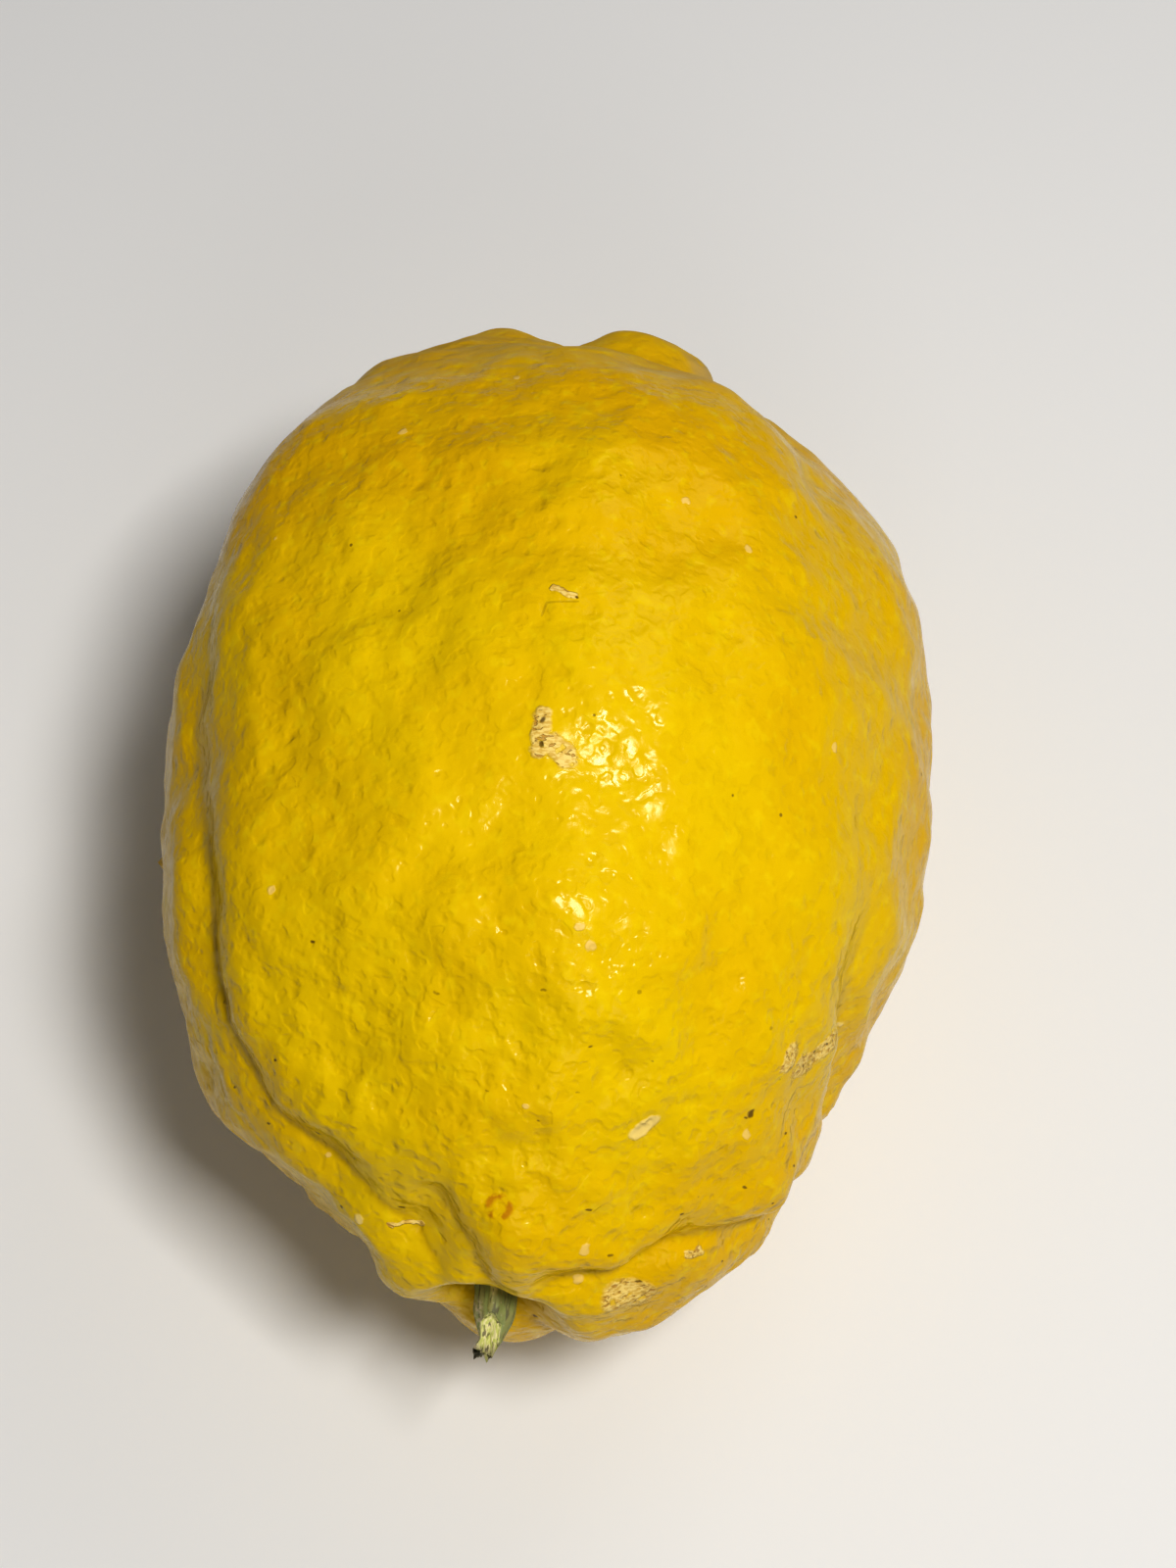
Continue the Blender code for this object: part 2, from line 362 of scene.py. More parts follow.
def bent(x, y):
    """Leans the straight fruit's sections over along its bent axis."""
    past = np.maximum(y - BEND_START, 0)
    aside = BEND * past**2 + NIPPLE_SHIFT * smooth_step(y, 0.040, 0.049)
    lean = np.arctan(2 * BEND * past)
    return aside + x * np.cos(lean), y - x * np.sin(lean)


def solid_lumps(point):
    """The rind's own unevenness: broad lumps, and smaller ones that cover them."""
    return sum(height * noise.noise(point / size) for size, height in SOLID_LUMPS)


def rind_points(directions):
    """Carries each unit direction to its place on the rind, and says how far along it lies and
    how much painted shade its folds give it."""
    stations, outline_y, outline_r = curve_through(RIND_OUTLINE, OUTLINE_STATIONS)
    slope_y = np.gradient(outline_y, stations)
    slope_r = np.gradient(outline_r, stations)
    polar = np.arccos(np.clip(-directions[:, 1], -1, 1)) / math.pi
    gathered = polar - HOLLOW_GATHER * (1 - np.exp(-polar / HOLLOW_SHARE))
    travel = gathered / (1 - HOLLOW_GATHER) * stations[-1]
    turn = np.arctan2(directions[:, 0], directions[:, 2])
    y = np.interp(travel, stations, outline_y)
    radius = np.interp(travel, stations, outline_r)
    out_y = -np.interp(travel, stations, slope_r)
    out_r = np.interp(travel, stations, slope_y)

    height = np.zeros(len(directions))
    # Painted shade in the fold round the nipple's neck and at the floor of each groove.
    fold_shade = 0.5 * np.exp(-(((travel - NECK_TRAVEL) / NECK_SHADE_WIDTH) ** 2))
    fold_shade *= 1 + 0.6 * np.sin(2 * turn)
    for depth, width, path in LOBE_GROOVES:
        start, stop = path[0][0], path[-1][0]
        slant = groove_slant(path, travel, radius)
        aside = np.abs(turn_apart(turn, groove_line(path, travel))) * radius
        aside /= np.sqrt(1 + slant**2)
        fade = smooth_step(travel, start, start + GROOVE_START)
        fade *= 1 - smooth_step(travel, (start + stop) / 2, stop)
        crisp = GROOVE_CRISPNESS * (1 - smooth_step(travel, 0.028, 0.054))
        crease = np.exp(-np.hypot(aside, 0.0004) / (0.3 * width))
        groove = (1 - crisp) * np.exp(-((aside / width) ** 2)) + crisp * crease
        height -= depth * fade * groove
        fold_shade = np.maximum(fold_shade, fade * np.exp(-np.hypot(aside, 0.0003) / (0.22 * width)))
    for count, degrees, ridge in RIBS:
        rib = np.cos(count * (turn - math.radians(degrees)))
        height += ridge * rib * np.sin(polar * math.pi) ** 2
    for degrees, centre, around, length, swell in (*SWELLINGS, WART):
        aside = turn_apart(turn, math.radians(degrees)) * radius / around
        height += swell * np.exp(-(aside**2) - ((travel - centre) / length) ** 2)
    base = np.stack([radius * np.sin(turn), y, radius * np.cos(turn)], axis=1)
    lumps = np.array([solid_lumps(Vector(point)) for point in base])
    height += lumps * smooth_step(travel, 0.005, 0.014)

    radial = radius + out_r * height
    x, y = bent(radial * np.sin(turn), y + out_y * height)
    return np.stack([x, y, radial * np.cos(turn)], axis=1), travel, fold_shade


def cube_sphere(cuts):
    """A cube cut into a fine grid and blown up to a unit sphere, with no crowded poles."""
    form = bmesh.new()
    bmesh.ops.create_cube(form, size=2.0)
    bmesh.ops.subdivide_edges(form, edges=form.edges[:], cuts=cuts, use_grid_fill=True)
    for vert in form.verts:
        vert.co = Vector([math.tan(side * math.pi / 4) for side in vert.co]).normalized()
    return form


def shown(form, name):
    """An object of this form, in the scene."""
    mesh = bpy.data.meshes.new(name)
    form.to_mesh(mesh)
    form.free()
    made = bpy.data.objects.new(name, mesh)
    bpy.context.scene.collection.objects.link(made)
    return made


def finished(form, points, name, shares):
    """An object of this form with its points in place, and its named shares as attributes."""
    points = points - np.array(MIDDLE)
    points[:, 2] = np.maximum(points[:, 2], 0)
    for vert, point in zip(form.verts, points):
        vert.co = point
    bmesh.ops.recalc_face_normals(form, faces=form.faces[:])
    made = shown(form, name)
    made.data.shade_smooth()
    for title, values in shares.items():
        layer = made.data.attributes.new(title, "FLOAT", "POINT")
        layer.data.foreach_set("value", np.asarray(values, dtype=np.float32))
    return made


class Value:
    """What a node puts out. Sums on values add Math nodes to the same tree."""

    def __init__(self, tree, socket):
        self.tree = tree
        self.socket = socket

    def __add__(self, other):
        return self.tree.math("ADD", self, other)

    def __sub__(self, other):
        return self.tree.math("SUBTRACT", self, other)

    def __rsub__(self, other):
        return self.tree.math("SUBTRACT", other, self)

    def __mul__(self, other):
        return self.tree.math("MULTIPLY", self, other)

    def __rtruediv__(self, other):
        return self.tree.math("DIVIDE", other, self)

    __radd__ = __add__
    __rmul__ = __mul__

    def most(self, *others):
        """The highest of this value and the others."""
        highest = self
        for other in others:
            highest = self.tree.math("MAXIMUM", highest, other)
        return highest

    def least(self, other):
        """The lower of this value and the other."""
        return self.tree.math("MINIMUM", self, other)

    def ramp(self, start, stop, low=0.0, high=1.0):
        """Goes smoothly from low at start to high at stop."""
        if start > stop:
            start, stop, low, high = stop, start, high, low
        sockets = {0: self, 1: start, 2: stop, 3: low, 4: high}
        settings = {"interpolation_type": "SMOOTHSTEP"}
        return self.tree.node("ShaderNodeMapRange", settings, sockets)


class Tree:
    """A node tree that grows by one node for each call."""

    def __init__(self, nodes, links):
        self.nodes = nodes
        self.links = links

    def node(self, kind, settings=None, sockets=None, out=0):
        """Adds a node, first its settings and then its sockets' values or links."""
        made = self.nodes.new(kind)
        for name, setting in (settings or {}).items():
            setattr(made, name, setting)
        for key, value in (sockets or {}).items():
            if isinstance(value, Value):
                self.links.new(value.socket, made.inputs[key])
            else:
                made.inputs[key].default_value = value
        return Value(self, made.outputs[out]) if len(made.outputs) else None

    def math(self, operation, first, second):
        return self.node("ShaderNodeMath", {"operation": operation}, {0: first, 1: second})

    def vector(self, operation, first, second, out=0):
        """Vector Math. The second input is the scale where the operation has one."""
        sockets = {0: first, ("Scale" if operation == "SCALE" else 1): second}
        return self.node("ShaderNodeVectorMath", {"operation": operation}, sockets, out)

    def part(self, vector, axis):
        """One of a vector's three numbers, or of a colour's."""
        return self.node("ShaderNodeSeparateXYZ", None, {0: vector}, axis)

    def mixed(self, share, first, second):
        """A colour that goes from first to second as share goes from 0 to 1."""
        sides = {6: first, 7: second}
        for key, colour in sides.items():
            if not isinstance(colour, Value):
                sides[key] = (*colour, 1.0)
        return self.node("ShaderNodeMix", {"data_type": "RGBA"}, {0: share, **sides}, 2)

    def attribute(self, name):
        """What the mesh itself says at each of its points under this name."""
        return self.node("ShaderNodeAttribute", {"attribute_name": name}, None, "Fac")

    def noise(self, place, size, detail=2.0, rough=0.5, out=0):
        """Soft noise from 0 to 1, whose lumps are about this size."""
        sockets = {"Vector": place, "Scale": 1 / size, "Detail": detail, "Roughness": rough}
        return self.node("ShaderNodeTexNoise", None, sockets, out)

    def cells(self, place, size, out=0):
        """Distance to the nearest of many scattered points, as a share of their spacing."""
        sockets = {"Vector": place, "Scale": 1 / size}
        return self.node("ShaderNodeTexVoronoi", None, sockets, out)

    def luck(self, place, size, axis):
        """A fixed draw from 0 to 1 for each of those points."""
        return self.part(self.cells(place, size, "Color"), axis)

    def shaken(self, place, size, reach):
        """The place, pushed about by noise, so that what is drawn there gets uneven edges."""
        push = self.vector("SUBTRACT", self.noise(place, size, out="Color"), (0.5, 0.5, 0.5))
        return self.vector("ADD", place, self.vector("SCALE", push, reach))

    def away(self, place, centre_mm):
        """Distance from a centre."""
        centre = [side / 1000 for side in centre_mm]
        return self.vector("DISTANCE", place, centre, "Value")

    def spot(self, place, centre_mm, radius_mm, soft=0.4):
        """1 inside a ball round the centre and 0 outside it, with a soft rim."""
        radius = radius_mm / 1000
        return self.away(place, centre_mm).ramp(radius, radius * (1 - soft))

    def spots(self, place, balls_mm, soft=0.4):
        """1 inside any of several balls, each given as centre and radius."""
        first, *others = [self.spot(place, *ball, soft) for ball in balls_mm]
        return first.most(*others)

    def streak(self, place, start_mm, stop_mm, half_width_mm, soft=0.5):
        """1 near the line between two points and 0 away from it, with a soft rim."""
        start = Vector(start_mm) / 1000
        run = Vector(stop_mm) / 1000 - start
        half_width = half_width_mm / 1000
        offset = self.vector("SUBTRACT", place, start)
        share = self.vector("DOT_PRODUCT", offset, run / run.length_squared, "Value")
        nearest = self.vector("SCALE", run, share.most(0.0).least(1.0))
        away = self.vector("DISTANCE", offset, nearest, "Value")
        return away.ramp(half_width, half_width * (1 - soft))

    def streaks(self, place, lines_mm, soft=0.5):
        """1 near any of several lines, each given as start, stop and half width."""
        first, *others = [self.streak(place, *line, soft) for line in lines_mm]
        return first.most(*others)


def surface(name):
    """A new material, its tree, its main surface node and its Object coordinates."""
    material = bpy.data.materials.new(name)
    material.use_nodes = True
    tree = Tree(material.node_tree.nodes, material.node_tree.links)
    main = material.node_tree.nodes["Principled BSDF"]
    return material, tree, main, tree.node("ShaderNodeTexCoord", None, None, "Object")


def painted(tree, main, colour, roughness, height_mm):
    """Gives the main surface node its colour, its roughness and its relief."""
    sockets = {"Strength": 1.0, "Distance": 0.001, "Height": height_mm}
    bump = tree.node("ShaderNodeBump", None, sockets)
    ends = {"Base Color": colour, "Roughness": roughness, "Normal": bump}
    for name, value in ends.items():
        tree.links.new(value.socket, main.inputs[name])


def relief_tree(name):
    """Raises soft lumps and pebbles along the normal where the relief attribute allows."""
    group = bpy.data.node_groups.new(name, "GeometryNodeTree")
    group.interface.new_socket("Geometry", in_out="OUTPUT", socket_type="NodeSocketGeometry")
    for title, kind in (
        ("Geometry", "Geometry"),
        ("Lump Size", "Float"),
        ("Lump Height", "Float"),
        ("Pebble Size", "Float"),
        ("Pebble Height", "Float"),
        ("Material", "Material"),
    ):
        group.interface.new_socket(title, in_out="INPUT", socket_type="NodeSocket" + kind)
    tree = Tree(group.nodes, group.links)
    given = group.nodes.new("NodeGroupInput")
    skin, lump_size, lump_height, pebble_size, pebble_height, material = [
        Value(tree, given.outputs[index]) for index in range(6)
    ]
    place = tree.node("GeometryNodeInputPosition")
    normal = tree.node("GeometryNodeInputNormal")
    relief = tree.node("GeometryNodeInputNamedAttribute", {"data_type": "FLOAT"}, {0: "relief"})
    lumps = {"Vector": place, "Scale": 1 / lump_size, "Detail": 1.0}
    lump = tree.node("ShaderNodeTexNoise", None, lumps)
    pebbles = {"Vector": place, "Scale": 1 / pebble_size, "Smoothness": 0.7}
    pebble = tree.node("ShaderNodeTexVoronoi", {"feature": "SMOOTH_F1"}, pebbles)
    height = (lump - 0.5) * lump_height + (0.45 - pebble) * pebble_height
    offset = tree.vector("SCALE", normal, height * relief)
    moved = tree.node("GeometryNodeSetPosition", None, {0: skin, "Offset": offset})
    real = tree.node("GeometryNodeRealizeInstances", None, {0: moved})
    coated = tree.node("GeometryNodeSetMaterial", None, {0: real, "Material": material})
    tree.node("NodeGroupOutput", None, {0: coated})
    return group


def grown(base, group, inputs):
    """Runs a tree of Geometry Nodes on an object and keeps what it makes as a plain mesh."""
    sockets = {
        item.name: item.identifier
        for item in group.interface.items_tree
        if item.in_out == "INPUT"
    }
    modifier = base.modifiers.new(group.name, "NODES")
    modifier.node_group = group
    for title, value in inputs.items():
        modifier[sockets[title]] = value
    graph = bpy.context.evaluated_depsgraph_get()
    mesh = bpy.data.meshes.new_from_object(base.evaluated_get(graph))
    base.modifiers.remove(modifier)
    old = base.data
    base.data = mesh
    bpy.data.meshes.remove(old)
    mesh.shade_smooth()


def rind_material():
    material, tree, main, place = surface("lemon_rind")
    uneven = tree.shaken(place, 0.0011, 0.0009)
    x, y, z = [tree.part(place, axis) for axis in "XYZ"]

    # Shallow craters and dents of uneven shape, small pebbles, and the oil glands' pits.
    crater_place = tree.shaken(place, 0.0018, 0.0013)
    crater_luck = tree.luck(crater_place, CRATER_SIZE, "X").ramp(0.15, 0.85, 0.1, 1.0)
    crater = tree.cells(crater_place, CRATER_SIZE).ramp(0.48, 0.10) * crater_luck
    dents = tree.noise(place, DENT_SIZE, 1.0).ramp(0.52, 0.34)
    pebble_place = tree.vector("ADD", place, (0.02, 0.05, 0.01))
    pebbles = tree.noise(pebble_place, FINE_PEBBLE_SIZE, 1.5)
    pit_place = tree.shaken(place, 0.0030, 0.0006)
    pit_luck = tree.luck(pit_place, PIT_SIZE, "Y").ramp(0.35, 1.0)
    pit = tree.cells(pit_place, PIT_SIZE).ramp(0.34, 0.10) * pit_luck

    # Ground colour: gold, with soft amber clouds, patches of painted light in paler lemon, and
    # painted shade of deeper yellow in the dents.
    riper = tree.away(place, YELLOWEST_MM).ramp(0.016, 0.062)
    cloud = tree.noise(place, CLOUD_SIZE).ramp(0.35, 0.65, -0.15, 0.35)
    colour = tree.mixed((riper * 0.9 + cloud).most(0.0).least(1.0), RIND_GOLD, RIND_AMBER)
    light_patches = tree.noise(tree.vector("ADD", place, (0.3, 0.1, 0.2)), 0.0014).ramp(0.52, 0.72)
    colour = tree.mixed(light_patches * 0.40, colour, RIND_LEMON_LIT)
    # Painted shade: deeper ochre in the craters, dents and pits.
    dent_shade = (crater * 0.14 + dents * 0.10 + pit * 0.12).least(0.5)
    colour = tree.mixed(dent_shade, colour, RIND_OCHRE_SHADED)

    # Painted shade turns the lobes left of the stem and the underside by the floor olive.
    low_lobe_shade = y.ramp(-0.030, -0.042) * z.ramp(0.058, 0.046) * x.ramp(-0.002, -0.008)
    colour = tree.mixed(low_lobe_shade * 0.10, colour, RIND_SHADE_OLIVE)
    colour = tree.mixed(z.ramp(0.022, 0.002) * 0.30, colour, RIND_SHADE_OLIVE)
    # Painted shade: the stem's hollow in olive brown.
    hollow_shade = tree.spot(uneven, *HOLLOW_SHADE_MM, 0.6)
    colour = tree.mixed(hollow_shade * 0.75, colour, OLIVE_SHADE)

    # Painted shade darkens the floor of the folds between the lobes, and round the nipple.
    colour = tree.mixed(tree.attribute("painted_fold_shade").ramp(0.15, 0.90) * 0.55, colour, FOLD_SHADE_BROWN)

    # The nipple: a tan, corky flank and rim, and the dark scar of the flower at its tip.
    flaky = tree.noise(place, 0.0013, 3.0)
    flank = tree.spot(uneven, *NIPPLE_FLANK_MM, 0.6) * flaky.ramp(0.32, 0.50)
    crown = tree.spot(uneven, *NIPPLE_CROWN_MM, 0.5) * flaky.ramp(0.40, 0.58)
    tan = (flank * 0.90).most(crown * 0.75)
    colour = tree.mixed(tan, colour, NIPPLE_TAN)
    flower_scar = tree.spot(uneven, *FLOWER_SCAR_MM, 0.7)

    # Corky scars: cream crusts that flake, cracked and streaked with brown.
    grain = tree.noise(tree.vector("MULTIPLY", place, (0.6, 1.7, 1.7)), GRAIN_SIZE)
    cork = tree.mixed(grain.ramp(0.42, 0.60), SCAR_CREAM, SCAR_TAN)
    crack_place = tree.vector("MULTIPLY", uneven, (0.7, 2.2, 2.2))
    crack = tree.noise(crack_place, CRACK_SIZE).ramp(0.58, 0.64)
    cork = tree.mixed(crack * 0.7, cork, CRACK_BROWN)
    flakes = tree.noise(place, 0.0010).ramp(0.32, 0.42, 0.25, 1.0)
    crust = tree.streaks(uneven, CRUSTS_MM, 0.35) * flakes
    colour = tree.mixed(crust * 0.92, colour, cork)

    # Smooth cream scars, and small pinkish specks.
    smooth = tree.streak(uneven, *SMOOTH_SCAR_MM, 0.3)
    smooth = smooth.most(tree.streak(uneven, *FLANK_SCAR_MM, 0.4))
    smooth = smooth.most(tree.spot(uneven, *ROUND_SCAR_MM))
    colour = tree.mixed(smooth * 0.9, colour, SCAR_CREAM)
    speck = tree.spots(uneven, SPECKS_MM)
    colour = tree.mixed(speck * 0.8, colour, SPECK_PINK)

    # A blister near the stem, ringed with orange brown.
    blister_away = tree.away(uneven, BLISTER_MM)
    blister = blister_away.ramp(0.0004, 0.0008) * blister_away.ramp(0.0014, 0.0010)
    blister *= tree.noise(place, 0.001).ramp(0.40, 0.55)
    colour = tree.mixed(blister * 0.8, colour, BLISTER_ORANGE)

    # Brown marks: pin pricks all over, short dashes towards the stem, a scratch and spots.
    prick_luck = tree.luck(place, PRICK_SPACING, "X").ramp(0.50, 0.58)
    prick = tree.cells(place, PRICK_SPACING).ramp(0.036, 0.020) * prick_luck
    squeezed = tree.vector("MULTIPLY", tree.shaken(place, 0.0008, 0.0005), (0.5, 1.5, 1.0))
    dash_luck = tree.luck(squeezed, DASH_SPACING, "Y").ramp(0.30, 0.60)
    dash = tree.cells(squeezed, DASH_SPACING).ramp(0.105, 0.050) * dash_luck
    dash *= y.ramp(-0.020, -0.032)
    scratch = tree.streaks(place, SCRATCHES_MM)
    spots = tree.spots(uneven, BROWN_SPOTS_MM, 0.6)
    brown = (scratch * 0.25).most(prick * 0.7, dash * 0.75, flower_scar * 0.9, spots * 0.85)
    colour = tree.mixed(brown, colour, CORK_BROWN)

    worn = crust.most(tan, hollow_shade, brown, speck * 0.5, smooth * 0.4, y.ramp(0.030, 0.042))
    shine = tree.noise(place, 0.0021).ramp(0.3, 0.7, 0.17, 0.27)
    main.inputs["Specular IOR Level"].default_value = 0.18

    # The relief: rougher towards the stem, and wrinkled round the nipple.
    rougher = y.ramp(-0.012, -0.034, 1.0, 1.6)
    hollows = crater * CRATER_DEPTH_MM + dents * DENT_DEPTH_MM + pit * PIT_DEPTH_MM
    height = tree.noise(place, GRAIN_SIZE) * GRAIN_MM
    height += (pebbles * FINE_PEBBLES_MM - hollows) * rougher
    height += crust * (1 - crack) * CRUST_MM + smooth * SCAR_MM + speck * SPECK_MM
    height -= brown * BROWN_DEPTH_MM
    wrinkle_place = tree.vector("MULTIPLY", place, (0.35, 1.6, 1.0))
    wrinkles = tree.noise(wrinkle_place, WRINKLE_SIZE, 1.0) * y.ramp(0.026, 0.038)
    height += wrinkles * WRINKLES_MM
    painted(tree, main, colour, (shine + worn * 0.35).least(0.9), height)
    return material


form = cube_sphere(GRID_CUTS)
directions = np.array([vert.co for vert in form.verts])
points, travel, fold_shade = rind_points(directions)
relief = smooth_step(travel, 0.006, 0.012)
relief *= smooth_step(points[:, 2] + AXIS_HEIGHT, 0.0001, 0.0010)
relief *= 1 + 0.5 * smooth_step(travel, 0.055, 0.035)
fruit = finished(form, points, "rind", {"relief": relief, "painted_fold_shade": fold_shade})
grown(fruit, relief_tree("rind relief"), {
    "Lump Size": LUMP_SIZE,
    "Lump Height": LUMP_HEIGHT,
    "Pebble Size": PEBBLE_SIZE,
    "Pebble Height": PEBBLE_HEIGHT,
    "Material": rind_material(),
})
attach(fruit, "root")
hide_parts("lemon_fruit")


# The calyx. On the real lemon this is the dried button of five small sepals, matt and olive
# brown, that grew at the floor of the hollow and holds the stem to the fruit.

CALYX_CUTS = 31
CALYX_RADIUS = 0.0025
CALYX_THICKNESS = 0.0012
CALYX_SEPALS = 5
CALYX_WRINKLES = 23
CALYX_Y = -0.0431
CALYX_OLIVE = (0.17, 0.15, 0.045)
CALYX_BROWN = (0.075, 0.042, 0.014)
CALYX_GREY = (0.30, 0.27, 0.16)


def calyx_points(directions):
    """Flattens each unit direction into a button with soft lobes and fine wrinkles."""
    turn = np.arctan2(directions[:, 0], directions[:, 2])
    around = np.sqrt(directions[:, 0] ** 2 + directions[:, 2] ** 2)
    sepals = np.cos(CALYX_SEPALS * turn)
    out = CALYX_RADIUS * (1 + 0.10 * sepals) * around**0.6
    rise = 0.5 * CALYX_THICKNESS * np.sign(directions[:, 1]) * np.abs(directions[:, 1]) ** 0.7
    wrinkle = 0.00007 * np.sin(CALYX_WRINKLES * turn + 2 * np.sin(3 * turn)) * around
    crease = 0.00012 * np.exp(-((sepals + 1) / 0.25) ** 2) * around
    rise += np.where(directions[:, 1] < 0, crease - wrinkle, 0)
    return np.stack([out * np.sin(turn), CALYX_Y + rise, out * np.cos(turn)], axis=1)


def calyx_material():
    material, tree, main, place = surface("dry_calyx")
    mottle = tree.noise(place, 0.0006, 4.0, 0.6)
    colour = tree.mixed(mottle.ramp(0.35, 0.65), CALYX_OLIVE, CALYX_BROWN)
    dust = tree.noise(place, 0.00025).ramp(0.58, 0.72)
    colour = tree.mixed(dust * 0.6, colour, CALYX_GREY)
    height = tree.noise(place, 0.0003, 3.0) * 0.08
    painted(tree, main, colour, mottle.ramp(0.3, 0.7, 0.62, 0.85), height)
    return material


form = cube_sphere(CALYX_CUTS)
directions = np.array([vert.co for vert in form.verts])
calyx = finished(form, calyx_points(directions), "calyx_button", {})
calyx.data.materials.append(calyx_material())
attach(calyx, "root")
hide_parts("calyx")


# The stem. On the real lemon this is a short stub of the green twig that the fruit hung from,
# ribbed along its length, and torn off on a slant so that its pale, stringy wood shows.

STEM_SIDES = 96
STEM_CUTS = 90
STEM_START_Y = -0.0440
STEM_LENGTH = 0.0070
STEM_RADIUS = 0.0019
STEM_TAPER = 0.52

# Where the tear starts, how much it sinks for each length along the stem, and its first step.
TEAR_START_Y = -0.0479
TEAR_SLOPE = 0.42
TEAR_LIP = 0.0009

STEM_GREEN = (0.255, 0.290, 0.110)
STEM_OLIVE = (0.290, 0.285, 0.110)
STEM_DARK = (0.075, 0.055, 0.035)
WOOD_PALE = (0.56, 0.58, 0.17)
WOOD_CREAM = (0.78, 0.72, 0.38)
CRUST_WHITE = (0.52, 0.44, 0.30)


def tube_grid(sides, cuts):
    """A capped tube, with the angle, the share along it and the reach of each of its points."""
    form = bmesh.new()
    bmesh.ops.create_cone(form, cap_ends=True, segments=sides, radius1=1, radius2=1, depth=1)
    long_edges = [edge for edge in form.edges if edge.verts[0].co.z != edge.verts[1].co.z]
    bmesh.ops.subdivide_edges(form, edges=long_edges, cuts=cuts)
    caps = [face for face in form.faces if len(face.verts) > 4]
    bmesh.ops.poke(form, faces=caps)
    corners = np.array([vert.co for vert in form.verts])
    reach = np.minimum(np.hypot(corners[:, 0], corners[:, 1]), 1)
    return form, np.arctan2(corners[:, 0], corners[:, 1]), corners[:, 2] + 0.5, reach


def noise_at(*sides):
    """Soft noise from -1 to 1 at each of many places. A side may be one number for them all."""
    places = zip(*np.broadcast_arrays(*sides))
    return np.array([noise.noise(Vector(place)) for place in places])


def stem_points(turn, share, reach):
    """Points on the stem's skin, from the calyx to the torn tip, and how torn each is."""
    side, top = np.sin(turn), np.cos(turn)
    radius = STEM_RADIUS * (1 + 0.22 * (1 - smooth_step(share, 0, 0.25)))
    radius *= 1 - STEM_TAPER * smooth_step(share, 0.42, 0.95)
    radius *= 1 + 0.06 * np.cos(5 * turn) + 0.04 * np.cos(3 * turn + 1)
    radius *= (1 + 0.05 * noise_at(side * 5, top * 5, share * 4)) * reach
    x = radius * side + 0.0002 - 0.0007 * smooth_step(share, 0.80, 1.05)
    ragged = 0.07 * noise_at(side * 3, top * 3, 7.0) * smooth_step(share, 0.6, 1.0)
    y = STEM_START_Y - STEM_LENGTH * (share + ragged)
    y -= 0.0004 * np.sin(2 * turn) * smooth_step(share, 0.8, 1)
    z = radius * top - 0.0003 * share
    past = TEAR_START_Y + 0.0003 * np.cos(x / 0.0004) - y
    torn_top = STEM_RADIUS - TEAR_SLOPE * np.maximum(past, 0)
    torn_top -= TEAR_LIP * smooth_step(past, 0, 0.0004)
    torn = smooth_step(z - torn_top, -0.00005, 0.00015)
    fibre = noise_at(x * 4000, y * 500, 3.0)
    z = np.minimum(z, torn_top) + 0.00016 * fibre * torn
    return np.stack([x, y, z], axis=1), torn


def stem_material():
    material, tree, main, place = surface("green_stem")
    along = tree.vector("MULTIPLY", place, (1.0, 0.16, 1.0))

    # Bark: green to olive, streaked along the twig, with dark cracks and pale dots.
    streaks = tree.noise(along, 0.00045, 3.0, 0.6)
    bark = tree.mixed(streaks.ramp(0.38, 0.62), STEM_GREEN, STEM_OLIVE)
    crack_place = tree.vector("ADD", along, (0.01, 0.02, 0.03))
    crack = tree.noise(crack_place, 0.0004, 3.0).ramp(0.54, 0.64)
    bark = tree.mixed(crack * 0.65, bark, STEM_DARK)
    dots = tree.cells(place, 0.0006).ramp(0.22, 0.10) * tree.noise(place, 0.001).ramp(0.45, 0.6)
    bark = tree.mixed(dots * 0.5, bark, CRUST_WHITE)

    # Torn wood: pale and stringy, with dark veins.
    grain = tree.noise(along, 0.00022)
    wood = tree.mixed(grain.ramp(0.40, 0.60), WOOD_PALE, WOOD_CREAM)
    vein_place = tree.vector("ADD", along, (0.05, 0.0, 0.02))
    wood = tree.mixed(tree.noise(vein_place, 0.0003).ramp(0.57, 0.64) * 0.75, wood, STEM_DARK)
    torn = tree.attribute("torn")
    colour = tree.mixed(torn, bark, wood)

    # A dry, whitish crust on the left near the tip, and the dark tip itself.
    x, y = [tree.part(place, axis) for axis in "XY"]
    crust = x.ramp(-0.0008, -0.0014) * y.ramp(-0.0466, -0.0484)
    crust *= tree.noise(place, 0.0004).ramp(0.4, 0.6)
    colour = tree.mixed(crust * 0.85, colour, CRUST_WHITE)
    colour = tree.mixed(y.ramp(-0.0508, -0.0519) * 0.55, colour, STEM_DARK)

    roughness = streaks.ramp(0.3, 0.7, 0.50, 0.72) + torn * 0.12
    height = streaks * 0.10 + grain * torn * 0.10 + tree.noise(place, 0.0002) * 0.03
    painted(tree, main, colour, roughness, height)
    return material


form, turn, share, reach = tube_grid(STEM_SIDES, STEM_CUTS)
points, torn = stem_points(turn, share, reach)
stem = finished(form, points, "stem", {"torn": torn})
stem.data.materials.append(stem_material())
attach(stem, "root")
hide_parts("stem_stub")


# The setting: a plain pale floor, a soft room, and a fairly small lamp to the camera's right,
# with two weak, broad ones before and behind the lemon.

FLOOR_SIZE = 3.0
FLOOR_PALE = (0.84, 0.84, 0.84)
ROOM_STRENGTH = 0.09

# Each lamp's azimuth and elevation in degrees, distance, size, power and colour.
LAMPS = {
    "key": (56, 71.5, 0.55, 0.12, 1.74, (1.0, 0.98, 0.95)),
    "fill": (15, 38, 0.60, 0.25, 0.28, (1.0, 1.0, 1.0)),
    "back": (150, 48, 0.60, 0.25, 0.22, (1.0, 1.0, 1.0)),
}

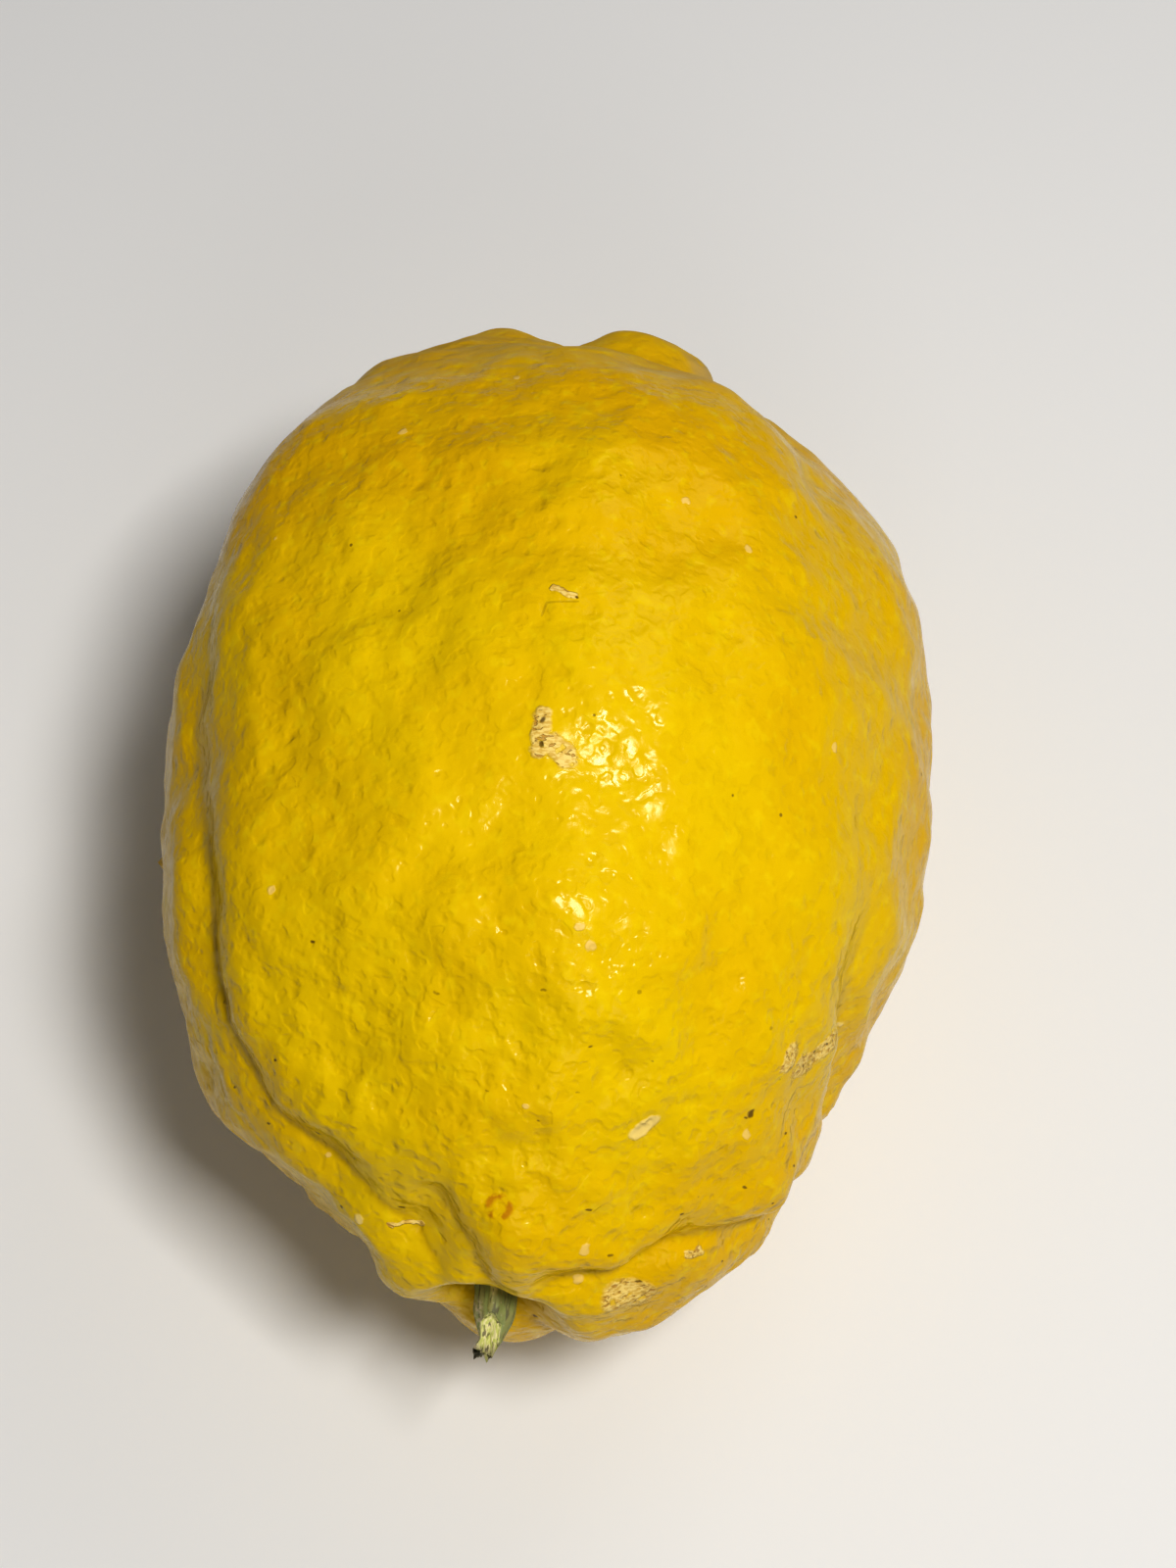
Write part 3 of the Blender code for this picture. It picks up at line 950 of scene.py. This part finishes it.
# Angles in degrees, the lens in millimetres, and the shares of its distance that the camera
# stands off to its right and upwards.
CAMERA_ELEVATION = 68.0
CAMERA_AZIMUTH = 5.6
CAMERA_DISTANCE = 0.312
CAMERA_LENS = 75.0
CAMERA_AIM = Vector((-0.00028, -0.00091, 0.036))
CAMERA_RIGHT = 0.0131
CAMERA_UP = 0.0123


def direction(azimuth, elevation):
    """The way from the lemon towards a place seen at these angles, in degrees."""
    turn, rise = math.radians(azimuth), math.radians(elevation)
    return Vector((
        math.sin(turn) * math.cos(rise),
        -math.cos(turn) * math.cos(rise),
        math.sin(rise),
    ))


def facing(back):
    """The sideways, upward and backward directions of what looks along -back, with no roll."""
    right = Vector((0, 0, 1)).cross(back).normalized()
    return right, back.cross(right), back


def placed(name, data, location, sides):
    """A lamp or a camera at this place, turned to these three directions."""
    made = bpy.data.objects.new(name, data)
    made.location = location
    made.rotation_euler = Matrix(sides).transposed().to_euler()
    bpy.context.scene.collection.objects.link(made)
    return made


form = bmesh.new()
bmesh.ops.create_grid(form, x_segments=1, y_segments=1, size=FLOOR_SIZE)
floor = shown(form, "floor")
floor_paint, _, main, _ = surface("pale floor")
main.inputs["Base Color"].default_value = (*FLOOR_PALE, 1.0)
main.inputs["Roughness"].default_value = 0.8
floor.data.materials.append(floor_paint)

world = bpy.data.worlds.new("soft room")
world.use_nodes = True
room = world.node_tree.nodes["Background"]
room.inputs["Color"].default_value = (1.0, 1.0, 1.0, 1.0)
room.inputs["Strength"].default_value = ROOM_STRENGTH
bpy.context.scene.world = world

for name, (azimuth, elevation, distance, size, power, colour) in LAMPS.items():
    light = bpy.data.lights.new(name, "AREA")
    light.size = size
    light.energy = power
    light.color = colour
    back = direction(azimuth, elevation)
    placed(name, light, CAMERA_AIM + back * distance, facing(back))

lens = bpy.data.cameras.new("photo view")
lens.lens = CAMERA_LENS
lens.sensor_width = 36.0
lens.clip_start = 0.01
sides = right, up, back = facing(direction(CAMERA_AZIMUTH, CAMERA_ELEVATION))
camera_place = CAMERA_AIM + CAMERA_DISTANCE * (back + CAMERA_RIGHT * right + CAMERA_UP * up)
bpy.context.scene.camera = placed("photo view", lens, camera_place, sides)
bpy.context.scene.view_settings.view_transform = "Standard"
bpy.context.scene.view_settings.look = "High Contrast"
